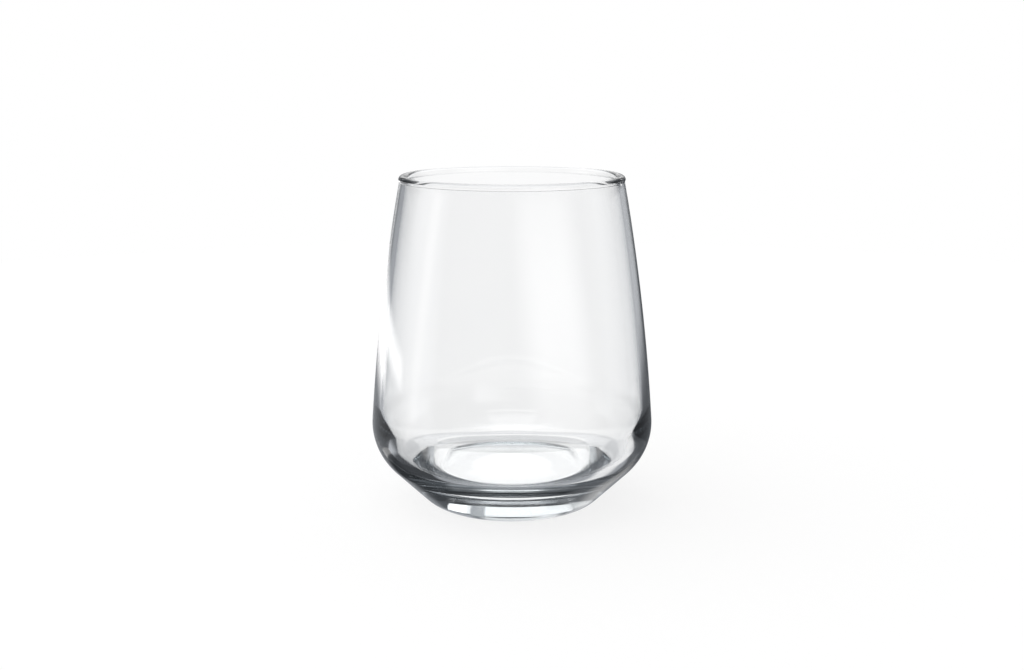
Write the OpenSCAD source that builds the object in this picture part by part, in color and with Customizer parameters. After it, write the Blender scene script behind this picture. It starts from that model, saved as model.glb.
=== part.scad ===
// Stemless wine glass with a heavy, tapered base. It is turned about +Z and stands on z = 0.
// In section the wall is one long arc that leans in to the mouth. A tight shoulder arc turns it
// under, a straight taper runs down from there, and a round brings the taper to a narrow ring.
// Inside, the wall gets thicker downwards and turns through a flank and a heel to a gently crowned floor.

/* [Outside] */
// Height from the table to the top of the lip
glass_h = 99.8; // [90:0.1:115]
// Diameter at the widest place, the belly
belly_d = 85; // [80:0.5:90]
// Height of the belly above the table
belly_z = 25.2; // [24:0.1:27]
// Diameter of the wall's outside where it reaches the top of the lip
mouth_d = 66; // [62:0.5:72]
// Radius of the wall's long arc
wall_arc_r = 640; // [500:10:900]
// Radius of the shoulder, where the wall turns under
shoulder_r = 18.5; // [17:0.1:20]

/* [Foot] */
// Outer diameter of the narrow flat ring that stands on the table
foot_d = 44.4; // [43:0.2:46]
// Radius of the round between the taper and the ring
foot_round_r = 10.2; // [8:0.1:12]
// Angle at which the round meets the ring, in degrees
foot_edge_a = 11.3; // [8:0.1:15]
// Width of the flat ring
ring_w = 0.6; // [0.4:0.1:2]
// Rise of the shallow hollow under the base, at its middle
hollow_h = 1.8; // [0.6:0.1:2.4]

/* [Thickness of the glass] */
// Wall just below the lip
lip_wall = 2; // [1.4:0.1:2.8]
// Wall just above the shoulder
shoulder_wall = 2.8; // [2.2:0.1:3.4]
// Height of the inside floor above the table, at its middle
floor_z = 12.2; // [11.4:0.1:14]

/* [Inside of the base] */
// Height above the floor at which the inside wall starts to turn in
flank_rise = 19.6; // [18.5:0.1:22]
// Radius of the flank, the wide arc with which it starts
flank_r = 30; // [25:0.5:32]
// Radius of the heel, the tighter arc that brings it to the floor
heel_r = 13.5; // [12.6:0.1:15]
// Fall of the floor from its middle towards the heel
floor_crown = 0.5; // [0.2:0.1:0.8]

/* [Lip] */
// How far the melted lip swells out of the wall on each side
lip_swell = 0.35; // [0:0.05:0.5]
// Height over which the swelling fades into the wall
lip_fade_h = 1.2; // [0.8:0.1:3]

/* [Bowl and base] */
// Height above the inside floor at which the bowl meets the base
seam_rise = 3.6; // [2:0.1:6]

/* [Hidden] */

// Steps along each arc of the section, and around the axis
arc_steps = 24;
$fn = 180;

// Cuts run this far past the glass
overrun = 5;

// Distance from the axis at which the floor has fallen by its crown
floor_reach = 24;

glass_tint = [0.86, 0.92, 0.91, 0.4];
base_tint = [0.78, 0.87, 0.86, 0.5];

// Point at angle a on a circle
function on_circle(c, r, a) = c + r * [cos(a), sin(a)];

// Points along a circle from angle a0 to a1, both included
function arc(c, r, a0, a1) =
    [for (i = [0 : arc_steps]) on_circle(c, r, a0 + (a1 - a0) * i / arc_steps)];

// The same points from last to first
function reverse(points) = [for (i = [len(points) - 1 : -1 : 0]) points[i]];

// Direction from one point to another, in degrees
function heading(from, to) = atan2(to[1] - from[1], to[0] - from[0]);

// Angle at which a circle passes a height, on its right-hand side
function angle_at(c, r, z) = asin((z - c[1]) / r);

// Point that lies a distance rp from p and rq from q, on the left of the way from p to q
function left_corner(p, rp, q, rq) =
    let (d = norm(q - p))
    let (along = (rp * rp - rq * rq + d * d) / (2 * d))
    p + along * (q - p) / d + sqrt(rp * rp - along * along) * [p[1] - q[1], q[0] - p[0]] / d;

// Outside: the shoulder circle rolls inside the wall's circle, which also passes through the mouth
mouth_edge = [mouth_d / 2, glass_h];
shoulder_c = [belly_d / 2 - shoulder_r, belly_z];
wall_c = left_corner(shoulder_c, wall_arc_r - shoulder_r, mouth_edge, wall_arc_r);
wall_low_a = heading(wall_c, shoulder_c);
wall_top_a = heading(wall_c, mouth_edge);

// The taper touches both the shoulder's circle and the foot's, so all three meet without a corner
foot_c = [foot_d / 2 - foot_round_r * sin(foot_edge_a), foot_round_r * cos(foot_edge_a)];
foot_span = norm(shoulder_c - foot_c);
taper_a = heading(foot_c, shoulder_c) - acos((foot_round_r - shoulder_r) / foot_span);

// Inside: an arc a wall's thickness within the outer one, at first for the wall only
inner_top = on_circle(wall_c, wall_arc_r - lip_wall, wall_top_a);
inner_low = on_circle(wall_c, wall_arc_r - shoulder_wall, wall_low_a);
inner_arc_r = wall_arc_r - (lip_wall + shoulder_wall) / 2;
inner_c = left_corner(inner_low, inner_arc_r, inner_top, inner_arc_r);

// The flank's circle rolls inside the wall's, and the heel's inside the flank's and on top of the floor's
flank_a = angle_at(inner_c, inner_arc_r, floor_z + flank_rise);
flank_c = on_circle(inner_c, inner_arc_r - flank_r, flank_a);
floor_arc_r = (floor_reach * floor_reach + floor_crown * floor_crown) / (2 * floor_crown);
floor_c = [0, floor_z - floor_arc_r];
heel_c = left_corner(flank_c, flank_r - heel_r, floor_c, floor_arc_r + heel_r);
heel_a = heading(flank_c, heel_c);

// Lip: both faces of the wall swell towards a half round that closes the top
lip_r = lip_wall / 2 + lip_swell;
lip_arc_r = wall_arc_r - lip_wall / 2;
lip_a = angle_at(wall_c, lip_arc_r, glass_h - lip_r);
lip_c = on_circle(wall_c, lip_arc_r, lip_a);
fade_z = lip_c[1] - lip_fade_h;
outer_fade_a = angle_at(wall_c, wall_arc_r, fade_z);
inner_fade_a = angle_at(inner_c, inner_arc_r, fade_z);

// One face of the wall from the fade at angle a0 to the lip's middle at a1.
// It swells smoothly from nothing to the full size, outwards where side is 1 and inwards where it is -1.
function lip_face(c, r, a0, a1, side) =
    [for (i = [0 : arc_steps])
        let (share = i / arc_steps)
        on_circle(c, r + side * lip_swell * share * share * (3 - 2 * share), a0 + (a1 - a0) * share)];

// Hollow under the base: a shallow dome that springs from the inner edge of the flat ring
hollow_edge = foot_d / 2 - ring_w;
hollow_r = (hollow_edge * hollow_edge + hollow_h * hollow_h) / (2 * hollow_h);
hollow_c = [0, hollow_h - hollow_r];

// Half of the whole glass in section, anticlockwise from the middle of the hollow
module glass_section() {
    polygon(concat(
        arc(hollow_c, hollow_r, 90, heading(hollow_c, [hollow_edge, 0])),
        arc(foot_c, foot_round_r, foot_edge_a - 90, taper_a),
        arc(shoulder_c, shoulder_r, taper_a, wall_low_a),
        arc(wall_c, wall_arc_r, wall_low_a, outer_fade_a),
        lip_face(wall_c, wall_arc_r, outer_fade_a, lip_a, 1),
        arc(lip_c, lip_r, lip_a, lip_a + 180),
        reverse(lip_face(inner_c, inner_arc_r, inner_fade_a, heading(inner_c, lip_c), -1)),
        arc(inner_c, inner_arc_r, inner_fade_a, flank_a),
        arc(flank_c, flank_r, flank_a, heel_a),
        arc(heel_c, heel_r, heel_a, heading(heel_c, floor_c)),
        arc(floor_c, floor_arc_r, heading(floor_c, heel_c), 90)
    ));
}

// Part of the section between two heights
module section_between(low_z, high_z) {
    intersection() {
        glass_section();
        translate([0, low_z]) square([belly_d, high_z - low_z]);
    }
}

seam_z = floor_z + seam_rise;

// Wall and lip, open above and below
module bowl() {
    color(glass_tint)
        rotate_extrude() section_between(seam_z, glass_h + overrun);
}

// Solid bottom with the foot, and the shallow dish that is the floor of the inside
module base() {
    color(base_tint)
        rotate_extrude() section_between(-overrun, seam_z);
}

bowl();
base();
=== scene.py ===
import math
import bpy
import numpy as np
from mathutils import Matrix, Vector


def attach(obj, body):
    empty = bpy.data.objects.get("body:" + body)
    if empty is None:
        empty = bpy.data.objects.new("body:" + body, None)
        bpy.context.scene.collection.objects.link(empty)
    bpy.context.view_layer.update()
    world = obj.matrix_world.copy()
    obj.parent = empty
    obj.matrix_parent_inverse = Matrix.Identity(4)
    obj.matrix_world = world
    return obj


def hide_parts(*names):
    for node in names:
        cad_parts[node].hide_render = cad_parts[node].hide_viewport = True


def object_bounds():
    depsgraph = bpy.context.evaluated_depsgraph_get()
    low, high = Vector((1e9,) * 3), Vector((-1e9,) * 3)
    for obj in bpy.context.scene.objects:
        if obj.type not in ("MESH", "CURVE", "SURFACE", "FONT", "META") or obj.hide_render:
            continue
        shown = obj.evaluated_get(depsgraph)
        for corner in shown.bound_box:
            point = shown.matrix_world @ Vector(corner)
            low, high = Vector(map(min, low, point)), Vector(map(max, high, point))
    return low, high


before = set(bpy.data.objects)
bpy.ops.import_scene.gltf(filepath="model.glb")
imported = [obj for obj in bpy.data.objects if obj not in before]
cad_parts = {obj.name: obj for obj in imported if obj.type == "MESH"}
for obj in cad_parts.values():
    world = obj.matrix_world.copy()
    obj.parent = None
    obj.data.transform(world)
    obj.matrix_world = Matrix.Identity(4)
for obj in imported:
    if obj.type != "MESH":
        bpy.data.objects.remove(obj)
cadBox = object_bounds()
scene = bpy.context.scene
print("frame loaded:", sorted(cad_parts))


# Camera

photoView = {
    "distance": 0.4218,  # from the glass's axis, along -Y
    "height": 0.13576,  # above the table
    "pitch": 11.31,  # degrees below level
    "lens": 50.0,  # mm
    "filmWidth": 36.0,  # mm
    "nearest": 0.01,  # anything closer isn't drawn
}


def addCamera(v):
    data = bpy.data.cameras.new("photoCamera")
    data.lens = v["lens"]
    data.sensor_fit = "HORIZONTAL"
    data.sensor_width = v["filmWidth"]
    data.clip_start = v["nearest"]
    camera = bpy.data.objects.new("photoCamera", data)
    camera.location = (0, -v["distance"], v["height"])
    camera.rotation_euler = (math.radians(90 - v["pitch"]), 0, 0)
    scene.collection.objects.link(camera)
    scene.camera = camera


addCamera(photoView)
print("camera set")


# Section of the glass

glassShape = {  # metres
    "height": cadBox[1].z - cadBox[0].z,
    "bellyRadius": (cadBox[1].x - cadBox[0].x) / 2,
    "bellyZ": 0.0252,
    "mouthRadius": 0.033,
    "wallArc": 0.640,
    "shoulderArc": 0.0185,
    "footRadius": 0.0222,
    "footRound": 0.0102,
    "footEdge": 11.3,  # degrees at which the round meets the ring
    "ringWidth": 0.0006,
    "hollowRise": 0.0018,
    "lipWall": 0.0020,
    "shoulderWall": 0.0028,
    "floorZ": 0.0122,
    "floorCrown": 0.0005,  # fall of the inside floor from its middle to the reach
    "floorReach": 0.024,
    "flankZ": 0.0318,  # height at which the inside wall starts to turn in
    "flankArc": 0.030,
    "heelArc": 0.0135,
    "lipSwell": 0.00035,
    "lipFade": 0.0006,  # half of the solids' fade, for the single line that the photo has under the lip
    "samePoint": 1e-7,  # points closer than this are one
    "roundSteps": 256,  # quads around the axis
    "steps": {  # quads along each stretch of the section
        "hollow": 16,
        "foot": 32,
        "shoulder": 44,
        "wall": 16,
        "lipFace": 20,
        "lip": 72,
        "flank": 24,
        "heel": 40,
        "floor": 16,
    },
}


# Points along a circle: centre plus radius times (cos, sin), for angles evenly spaced
# from start to end
def arcPoints(centre, radius, start, end, steps):
    turn = np.linspace(start, end, steps + 1)
    return np.asarray(centre) + radius * np.column_stack((np.cos(turn), np.sin(turn)))


def onCircle(centre, radius, turn):
    return np.asarray(centre) + radius * np.array((math.cos(turn), math.sin(turn)))


def heading(start, end):
    return math.atan2(end[1] - start[1], end[0] - start[0])


# Angle at which the right-hand side of a circle passes a height
def turnAt(centre, radius, z):
    return math.asin((z - centre[1]) / radius)


# Crossing of two circles on the left of the way from p to q: along it to the shared chord,
# then square to it
def leftCrossing(p, rp, q, rq):
    p, q = np.asarray(p), np.asarray(q)
    span = np.linalg.norm(q - p)
    along = (rp**2 - rq**2 + span**2) / (2 * span)
    way = (q - p) / span
    return p + along * way + math.sqrt(rp**2 - along**2) * np.array((-way[1], way[0]))


# One face of the wall near the lip: an arc whose radius grows by a smooth 3s^2 - 2s^3 swelling
def lipFace(centre, radius, start, end, swell, steps):
    share = np.linspace(0, 1, steps + 1)
    turn = start + (end - start) * share
    reach = radius + swell * share**2 * (3 - 2 * share)
    return np.asarray(centre) + reach[:, None] * np.column_stack((np.cos(turn), np.sin(turn)))


# Half section as (radius, height) points, from the middle of the hollow underneath, up the outside,
# over the lip and down the inside to the middle of the floor. Neighbouring arcs share their
# tangents, except at the two edges of the flat foot ring.
def glassSection(s):
    mouthEdge = (s["mouthRadius"], s["height"])
    shoulderC = (s["bellyRadius"] - s["shoulderArc"], s["bellyZ"])
    wallC = leftCrossing(shoulderC, s["wallArc"] - s["shoulderArc"], mouthEdge, s["wallArc"])
    wallLow, wallTop = heading(wallC, shoulderC), heading(wallC, mouthEdge)

    footEdge = math.radians(s["footEdge"])
    footC = onCircle((s["footRadius"], 0), -s["footRound"], footEdge - math.pi / 2)
    footSpan = math.dist(shoulderC, footC)
    taper = heading(footC, shoulderC) - math.acos((s["footRound"] - s["shoulderArc"]) / footSpan)

    innerTop = onCircle(wallC, s["wallArc"] - s["lipWall"], wallTop)
    innerLow = onCircle(wallC, s["wallArc"] - s["shoulderWall"], wallLow)
    innerArc = s["wallArc"] - (s["lipWall"] + s["shoulderWall"]) / 2
    innerC = leftCrossing(innerLow, innerArc, innerTop, innerArc)

    flankTurn = turnAt(innerC, innerArc, s["flankZ"])
    flankC = onCircle(innerC, innerArc - s["flankArc"], flankTurn)
    floorArc = (s["floorReach"] ** 2 + s["floorCrown"] ** 2) / (2 * s["floorCrown"])
    floorC = (0, s["floorZ"] - floorArc)
    heelC = leftCrossing(flankC, s["flankArc"] - s["heelArc"], floorC, floorArc + s["heelArc"])
    heelTurn = heading(flankC, heelC)

    lipR = s["lipWall"] / 2 + s["lipSwell"]
    lipArc = s["wallArc"] - s["lipWall"] / 2
    lipTurn = turnAt(wallC, lipArc, s["height"] - lipR)
    lipC = onCircle(wallC, lipArc, lipTurn)
    fadeZ = lipC[1] - s["lipFade"]
    outerFade, innerFade = turnAt(wallC, s["wallArc"], fadeZ), turnAt(innerC, innerArc, fadeZ)

    hollowEdge = s["footRadius"] - s["ringWidth"]
    hollowArc = (hollowEdge**2 + s["hollowRise"] ** 2) / (2 * s["hollowRise"])
    hollowC = (0, s["hollowRise"] - hollowArc)

    n, swell = s["steps"], s["lipSwell"]
    innerLip = lipFace(innerC, innerArc, innerFade, heading(innerC, lipC), -swell, n["lipFace"])
    stretches = (
        arcPoints(hollowC, hollowArc, math.pi / 2, heading(hollowC, (hollowEdge, 0)), n["hollow"]),
        arcPoints(footC, s["footRound"], footEdge - math.pi / 2, taper, n["foot"]),
        arcPoints(shoulderC, s["shoulderArc"], taper, wallLow, n["shoulder"]),
        arcPoints(wallC, s["wallArc"], wallLow, outerFade, n["wall"]),
        lipFace(wallC, s["wallArc"], outerFade, lipTurn, swell, n["lipFace"]),
        arcPoints(lipC, lipR, lipTurn, lipTurn + math.pi, n["lip"]),
        innerLip[::-1],
        arcPoints(innerC, innerArc, innerFade, flankTurn, n["wall"]),
        arcPoints(flankC, s["flankArc"], flankTurn, heelTurn, n["flank"]),
        arcPoints(heelC, s["heelArc"], heelTurn, heading(heelC, floorC), n["heel"]),
        arcPoints(floorC, floorArc, heading(floorC, heelC), math.pi / 2, n["floor"]),
    )
    points = np.vstack(stretches)
    apart = np.linalg.norm(np.diff(points, axis=0), axis=1) > s["samePoint"]
    return points[np.concatenate(([True], apart))]


# Section carried round the axis: (r cos t, r sin t, z) on a grid of section points by turns.
# The first and last points lie on the axis, and each closes its side with a fan round one vertex.
def turnedGlass(s):
    section = glassSection(s)
    turns = np.linspace(0, 2 * math.pi, s["roundSteps"], endpoint=False)
    radius = np.repeat(section[1:-1, :1], s["roundSteps"], axis=1)
    height = np.repeat(section[1:-1, 1:], s["roundSteps"], axis=1)
    rows, columns = radius.shape
    grid = np.stack((radius * np.cos(turns), radius * np.sin(turns), height), axis=-1)
    poles = np.array(((0, 0, section[0, 1]), (0, 0, section[-1, 1])))
    vertices = np.vstack((grid.reshape(-1, 3), poles))

    index = np.arange(rows * columns).reshape(rows, columns)
    after = np.roll(index, -1, axis=1)
    quads = np.stack((index[:-1], after[:-1], after[1:], index[1:]), axis=-1).reshape(-1, 4)
    under, top = rows * columns, rows * columns + 1
    underFan = np.column_stack((np.full(columns, under), after[0], index[0]))
    floorFan = np.column_stack((index[-1], after[-1], np.full(columns, top)))
    return vertices, quads.tolist() + underFan.tolist() + floorFan.tolist()


def addPiece(name, vertices, faces):
    mesh = bpy.data.meshes.new(name)
    mesh.from_pydata(vertices.tolist(), [], faces)
    mesh.shade_smooth()
    piece = bpy.data.objects.new(name, mesh)
    scene.collection.objects.link(piece)
    return piece


glass = addPiece("glass", *turnedGlass(glassShape))
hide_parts("bowl", "base")
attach(glass, "root")
print("glass turned:", len(glass.data.polygons), "faces")


# Small helpers for shader trees

def calc(tree, operation, *values):
    node = tree.nodes.new("ShaderNodeMath")
    node.operation = operation
    for socket, value in zip(node.inputs, values):
        if isinstance(value, bpy.types.NodeSocket):
            tree.links.new(value, socket)
        else:
            socket.default_value = value
    return node.outputs["Value"]


# 0 at start, 1 at end and an S-shaped rise between them
def fade(tree, value, start, end):
    node = tree.nodes.new("ShaderNodeMapRange")
    node.interpolation_type = "SMOOTHSTEP"
    tree.links.new(value, node.inputs["Value"])
    node.inputs["From Min"].default_value = start
    node.inputs["From Max"].default_value = end
    return node.outputs["Result"]


def mixColour(tree, share, under, over):
    node = tree.nodes.new("ShaderNodeMix")
    node.data_type = "RGBA"
    tree.links.new(share, node.inputs["Factor"])
    for socket, value in ((node.inputs["A"], under), (node.inputs["B"], over)):
        if isinstance(value, bpy.types.NodeSocket):
            tree.links.new(value, socket)
        else:
            socket.default_value = (*value, 1)
    return node.outputs["Result"]


# Place on a piece, or direction in the world, that is shaded
def shadedPlace(tree, kind):
    return tree.nodes.new("ShaderNodeTexCoord").outputs[kind]


def axesOf(tree, place):
    node = tree.nodes.new("ShaderNodeSeparateXYZ")
    tree.links.new(place, node.inputs["Vector"])
    return node.outputs


# Clear glass

clearGlass = {
    "ior": 1.5,
    "tint": (0.30, 0.37, 0.40),  # a metre of glass leaves exp(-density * (1 - tint)) of each colour
    "density": 10.0,
    "polish": 0.0,  # roughness away from the foot
    "wear": 0.3,  # roughness added where the foot rubs on tables
    "wearHeight": 0.0004,
    "wearGrain": 900.0,
}


def clearGlassMaterial(m):
    material = bpy.data.materials.new("clear_glass")
    material.use_nodes = True
    tree = material.node_tree
    tree.nodes.clear()
    output = tree.nodes.new("ShaderNodeOutputMaterial")
    shader = tree.nodes.new("ShaderNodeBsdfPrincipled")
    shader.inputs["Base Color"].default_value = (1, 1, 1, 1)
    shader.inputs["IOR"].default_value = m["ior"]
    shader.inputs["Transmission Weight"].default_value = 1.0
    tree.links.new(shader.outputs["BSDF"], output.inputs["Surface"])

    # Fine scuffs that fade out a little way up the foot
    place = shadedPlace(tree, "Object")
    scuffs = tree.nodes.new("ShaderNodeTexNoise")
    scuffs.inputs["Scale"].default_value = m["wearGrain"]
    tree.links.new(place, scuffs.inputs["Vector"])
    low = fade(tree, axesOf(tree, place)["Z"], m["wearHeight"], 0)
    rubbed = calc(tree, "MULTIPLY", low, scuffs.outputs["Fac"])
    roughness = calc(tree, "MULTIPLY_ADD", rubbed, m["wear"], m["polish"])
    tree.links.new(roughness, shader.inputs["Roughness"])

    body = tree.nodes.new("ShaderNodeVolumeAbsorption")
    body.inputs["Color"].default_value = (*m["tint"], 1)
    body.inputs["Density"].default_value = m["density"]
    tree.links.new(body.outputs["Volume"], output.inputs["Volume"])
    return material


glass.data.materials.append(clearGlassMaterial(clearGlass))
print("glass material made")


# Table

tableTop = {
    "radius": 0.6,
    "colour": (0.2, 0.2, 0.2),  # the part of its white that a shadow can take away
    "glow": 0.81,  # the rest, lit from below
    "paintedPoolGlow": 1.15,  # painted light: a glowing pool on the table under its foot, in place of the light that the glass gathers there
    "paintedShadeGlow": 0.8,  # painted shadow: the same pool dimmed beyond a straight line across it
    "spotLine": 0.0085,  # how far that line lies behind the axis
    "spotBlur": 0.0004,  # half the width over which the light changes there
    "spotRadius": 0.026,
    "spotDrop": 0.0001,  # how far the spot lies under the table
    "steps": 96,
}


# A disc: one fan round the middle, (r cos t, r sin t, z)
def addDisc(name, radius, z, steps, colour, glow):
    turns = np.linspace(0, 2 * math.pi, steps, endpoint=False)
    rim = np.column_stack((radius * np.cos(turns), radius * np.sin(turns), np.full(steps, z)))
    index = np.arange(steps)
    fan = np.column_stack((index, np.roll(index, -1), np.full(steps, steps)))
    disc = addPiece(name, np.vstack((rim, (0, 0, z))), fan.tolist())
    material = bpy.data.materials.new(name + "_white")
    material.use_nodes = True
    shader = material.node_tree.nodes["Principled BSDF"]
    shader.inputs["Base Color"].default_value = (*colour, 1)
    shader.inputs["Roughness"].default_value = 1.0
    shader.inputs["Specular IOR Level"].default_value = 0.0
    shader.inputs["Emission Color"].default_value = (1, 1, 1, 1)
    shader.inputs["Emission Strength"].default_value = glow
    disc.data.materials.append(material)
    return disc


# Rays that passed the glass, or were mirrored, don't meet the table: the spot of painted light and the
# cards stand in for it
def addTable(t):
    table = addDisc("table", t["radius"], 0, t["steps"], t["colour"], t["glow"])
    table.visible_transmission = False
    table.visible_glossy = False


# Only rays that passed the glass meet the spot, a glowing disc of painted light. It is bright in front
# of its line, and a painted shadow makes it greyer behind it.
def addPaintedLightSpot(t):
    spot = addDisc("paintedLightSpot", t["spotRadius"], -t["spotDrop"], t["steps"], (0, 0, 0), t["paintedPoolGlow"])
    spot.visible_camera = False
    spot.visible_diffuse = False
    spot.visible_glossy = False
    spot.visible_shadow = False
    tree = spot.active_material.node_tree
    back = axesOf(tree, shadedPlace(tree, "Object"))["Y"]
    # Painted shadow: the glow drops to the dimmer value behind the line
    behind = fade(tree, back, t["spotLine"] - t["spotBlur"], t["spotLine"] + t["spotBlur"])
    glow = calc(tree, "MULTIPLY_ADD", behind, t["paintedShadeGlow"] - t["paintedPoolGlow"], t["paintedPoolGlow"])
    tree.links.new(glow, tree.nodes["Principled BSDF"].inputs["Emission Strength"])


addTable(tableTop)
addPaintedLightSpot(tableTop)
print("table laid")


# Studio around the glass

studio = {
    "backdrop": 1.0,  # what the camera sees behind the table
    "dome": 1.0,  # soft light on the table
    "domeLean": -0.7,  # how much stronger it comes from the left than from above
    "bounces": 40,  # how far a ray is followed through the glass
    "deepFrom": 3,  # mirrored at least so often within the glass, a ray meets the deep cards
    "insideFrom": 3,  # having passed at least so many faces, it meets the inside cards
    # Each card covers those before it: its middle and half width round the axis, its lower and upper
    # edge and its softness, all in degrees from level and straight behind the glass, then how far it
    # leans round the axis for each degree of height, then its light.
    # What shows straight through the glass:
    "field": 1.03,
    "fieldCards": (
        ("above", 0, 180, 25, 95, 7, 0, 0.95),
        ("tableFar", 0, 180, -29, -21.5, 1.5, 0, 1.12),
        ("tableMiddle", 0, 180, -41, -29.5, 1.5, 0, 0.88),
        ("tableNear", 0, 180, -95, -46, 3, 0, 0.93),
    ),
    # What every face of the glass mirrors:
    "dim": 0.14,
    "roomCards": (
        ("tableRound", 0, 180, -95, -16, 6, 0, 0.4),
        ("ceiling", 0, 180, 64, 95, 6, 0, 0.6),
        ("leftSide", -92, 20, -14, 16, 5, 0, 0.62),
        ("rightSide", 78, 16, -14, 15, 5, 0, 0.42),
        ("keyRight", 140, 24, -8, 14, 14, 0.8, 1.5),
        ("stripLeft", -95, 5, -10, 16, 4, -0.5, 1.1),
    ),
    # What the outer face mirrors:
    "outsideCards": (
        ("frontLight", 0, 15, 5, 34, 7, 0, 1.4),
        ("frontTop", 0, 60, 27, 72, 5, 0, 0.9),
        ("leftBand", -44, 34, -24, 0, 5, 0, 0.44),
        ("rightBand", 48, 20, -8, 6, 4, 0, 0.48),
        ("rightDark", 40, 25, -26, -11, 3, 0, 0.17),
        ("leftDark", -60, 42, -60, -28, 4, 0, 0.07),
        ("lowDark", 0, 45, -95, -58, 4, 0, 0.1),
        ("frontTable", 18, 18, -44, -30, 5, 0, 0.95),
        ("leftWindow", -26, 17, -10.7, -6.4, 1, 0, 2.0),
        ("leftPatch", -60, 18, -7.2, -5.2, 0.8, 0, 1.9),
        ("leftNotch", -42, 11, -27, -23, 0.8, 0, 1.2),
    ),
    # What is mirrored once or twice within the wall or the base:
    "wallCards": (
        ("tableLow", 0, 60, -75, -52, 4, 0, 0.38),
        ("frontTop", 0, 20, 27, 40, 2, 0, 0.58),
        ("leftBand", -50, 26, -12, 8, 4, 0, 0.43),
        ("leftTable", -46, 15, -30, -10, 3, 0, 0.52),
        ("leftDark", -62, 46, -53, -30, 2, 0, 0.055),
        ("leftGap", -23, 12, -33, -14.5, 2, 0, 0.04),
        ("rightBand", 48, 12, -13, 4, 3, 0, 0.6),
        ("rightEdge", 26, 11, -11, 6, 3, 0, 0.6),
        ("rightDark", 25, 13, -32, -12.5, 2, 0, 0.08),
        ("rightTable", 50, 13, -50, -28, 3, 0, 1.02),
        ("frontTable", 22, 17, -50, -39, 3, 0, 0.98),
        ("frontLow", -4, 15, -8, 8, 3, 0, 1.2),
        ("frontGap", -1, 28, 20.8, 26.8, 0.6, 0, 0.03),
        ("frontWindow", 1, 27, 7, 20.5, 0.8, 0, 1.75),
        ("rightPane", 23, 5, 7, 20.5, 0.8, 0, 2.6),
        ("leftWing", -34, 9, 9, 24, 3, 0, 1.1),
        ("mullion", 13, 3, 5, 21, 0.6, 0, 0.7),
        ("leftWindow", -26, 18, -11.7, -7.4, 1, 0, 1.5),
        ("leftPatch", -56, 14, -9.2, -7, 0.8, 0, 1.6),
    ),
    # What is mirrored many times within the base:
    "deepCards": (
        ("backDark", 180, 120, -24, 50, 4, 0, 0.03),
        ("aboveDark", 0, 180, 50, 95, 4, 0, 0.1),
        ("lowDark", 0, 60, -24, 11, 3, 0, 0.03),
        ("lowTable", 0, 50, -56, -37, 3, 0, 0.9),
        ("window", 0, 28, 13, 27, 2, 0, 0.5),
        ("top", 0, 16, 29, 42, 3, 0, 0.5),
        ("zenith", 0, 40, 72, 78, 1, 0, 1.3),
    ),
    # What is mirrored on the way across the inside of the bowl:
    "insideCards": (
        ("backTop", 180, 30, 44, 72, 4, 0, 2.0),
        ("ceilingLight", 0, 180, 70, 95, 3, 0, 2.2),
        ("frontTop", 0, 20, 30, 68, 4, 0, 1.2),
        ("frontMiddle", 0, 24, -18, 15, 3, 0, 0.3),
        ("tableFar", 0, 92, -26, -15, 3, 0, 0.62),
        ("frontTable", 0, 26, -54, -20, 4, 0, 1.05),
        ("leftDark", -76, 9, 16, 64, 4, 0, 0.06),
        ("rightDark", 76, 9, 16, 64, 4, 0, 0.04),
        ("leftBack", -118, 26, -10, 62, 4, 0, 0.03),
        ("rightBack", 118, 26, -10, 62, 4, 0, 0.03),
        ("leftLight", -82, 11, -8, 12, 4, 0, 0.75),
        ("rightLight", 80, 11, -8, 12, 4, 0, 0.7),
        ("frontWindow", 0, 15, 13.8, 32, 1.5, 0, 1.9),
    ),
}


# How much more green and blue than red the darkest grey of the studio has
darkTint = {"green": 0.07, "blue": 0.18}


# Neutral when bright, and a little bluer the darker it is
def greyLight(strength):
    dark = max(0, 1 - strength)
    green, blue = 1 + darkTint["green"] * dark, 1 + darkTint["blue"] * dark
    return (strength, strength * green, strength * blue)


# Cards painted over a colour: each is the product of an S-edged window in azimuth and in elevation
def paintCards(tree, azimuth, elevation, colour, cards):
    for name, middle, half, low, high, soft, lean, light in cards:
        tilted = calc(tree, "MULTIPLY_ADD", elevation, -lean, azimuth)
        wrapped = calc(tree, "WRAP", calc(tree, "SUBTRACT", tilted, middle), 180, -180)
        off = calc(tree, "ABSOLUTE", wrapped)
        across = fade(tree, off, half + soft, half - soft)
        upper = fade(tree, elevation, high + soft, high - soft)
        lower = fade(tree, elevation, low - soft, low + soft)
        mask = calc(tree, "MULTIPLY", calc(tree, "MULTIPLY", across, upper), lower)
        mask.node.label = name
        colour = mixColour(tree, mask, colour, greyLight(light))
    return colour


# 1 where a whole number is at least so much, else 0
def atLeast(tree, count, least):
    return calc(tree, "GREATER_THAN", count, least - 0.5)


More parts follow.
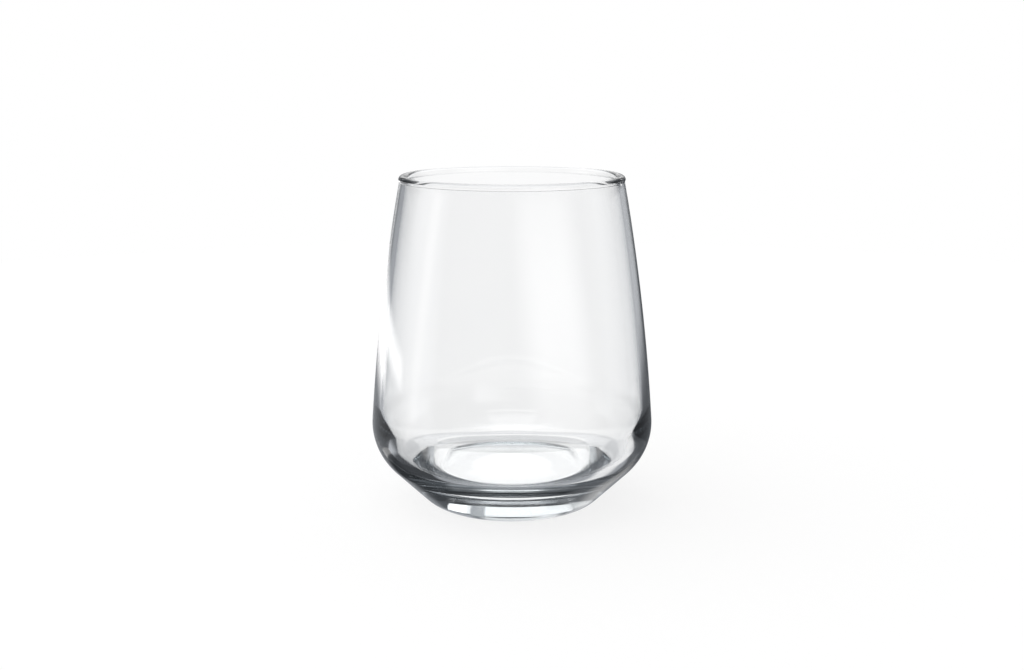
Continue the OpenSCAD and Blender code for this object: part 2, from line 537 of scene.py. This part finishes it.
# Light from a direction, where azimuth is atan2(x, y) and elevation asin(z)
def lightStudio(s):
    world = bpy.data.worlds.new("studio")
    world.use_nodes = True
    scene.world = world
    world.cycles.sampling_method = "NONE"
    tree = world.node_tree
    tree.nodes.clear()
    toDegrees = 180 / math.pi
    x, y, z = axesOf(tree, shadedPlace(tree, "Generated"))
    azimuth = calc(tree, "MULTIPLY", calc(tree, "ARCTAN2", x, y), toDegrees)
    elevation = calc(tree, "MULTIPLY", calc(tree, "ARCSINE", z), toDegrees)
    field = paintCards(tree, azimuth, elevation, greyLight(s["field"]), s["fieldCards"])
    room = paintCards(tree, azimuth, elevation, greyLight(s["dim"]), s["roomCards"])
    outside = paintCards(tree, azimuth, elevation, room, s["outsideCards"])
    wall = paintCards(tree, azimuth, elevation, room, s["wallCards"])
    deep = paintCards(tree, azimuth, elevation, room, s["deepCards"])
    inside = paintCards(tree, azimuth, elevation, room, s["insideCards"])

    # How often a ray was mirrored, and how many faces of the glass it passed, tells its cards
    path = tree.nodes.new("ShaderNodeLightPath")
    mirrored, passed = path.outputs["Glossy Depth"], path.outputs["Transmission Depth"]
    colour = mixColour(tree, atLeast(tree, mirrored, s["deepFrom"]), wall, deep)
    colour = mixColour(tree, atLeast(tree, passed, 1), outside, colour)
    colour = mixColour(tree, atLeast(tree, passed, s["insideFrom"]), colour, inside)
    colour = mixColour(tree, atLeast(tree, mirrored, 1), field, colour)

    # The table's soft light, and the backdrop for the camera
    dome = tree.nodes.new("ShaderNodeCombineColor")
    for channel in dome.inputs:
        tree.links.new(calc(tree, "MULTIPLY_ADD", x, s["dome"] * s["domeLean"], s["dome"]), channel)
    colour = mixColour(tree, path.outputs["Is Diffuse Ray"], colour, dome.outputs["Color"])
    colour = mixColour(tree, path.outputs["Is Camera Ray"], colour, (s["backdrop"],) * 3)
    light = tree.nodes.new("ShaderNodeBackground")
    tree.links.new(colour, light.inputs["Color"])
    output = tree.nodes.new("ShaderNodeOutputWorld")
    tree.links.new(light.outputs["Background"], output.inputs["Surface"])


lightStudio(studio)
scene.view_settings.view_transform = "Standard"
scene.cycles.max_bounces = studio["bounces"]
scene.cycles.glossy_bounces = studio["bounces"]
scene.cycles.transmission_bounces = studio["bounces"]
print("studio lit")
